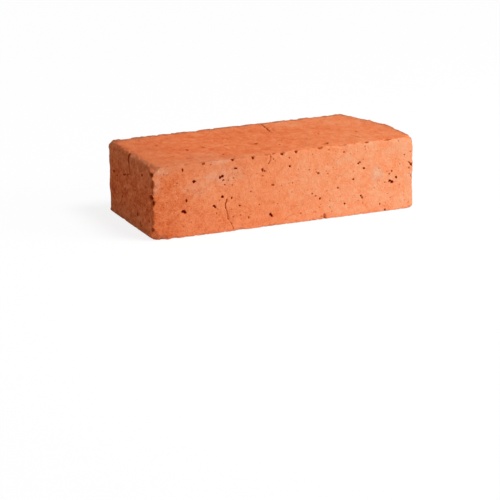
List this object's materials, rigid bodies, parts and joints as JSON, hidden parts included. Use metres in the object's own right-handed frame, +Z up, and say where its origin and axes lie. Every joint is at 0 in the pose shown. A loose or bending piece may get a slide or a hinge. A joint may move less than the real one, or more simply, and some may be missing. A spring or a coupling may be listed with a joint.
{
  "type": "clay brick",
  "caption": "Solid rectangular brick of orange-red fired clay, with worn arrises and chipped corners, laid in mortar to build walls, piers and paving.",
  "frame": {"origin": "middle of the bed face, on the ground that the brick lies on", "axes": "+X along the length towards the right end, +Y from the front side to the back side, +Z up from the bed face"},
  "size_m": [0.215, 0.092, 0.057],
  "materials": {
    "fired_clay": "matt, porous, sand-struck orange-red clay with small dark pits"
  },
  "bodies": {
    "root": {"brick": "fired_clay"}
  },
  "joints": []
}
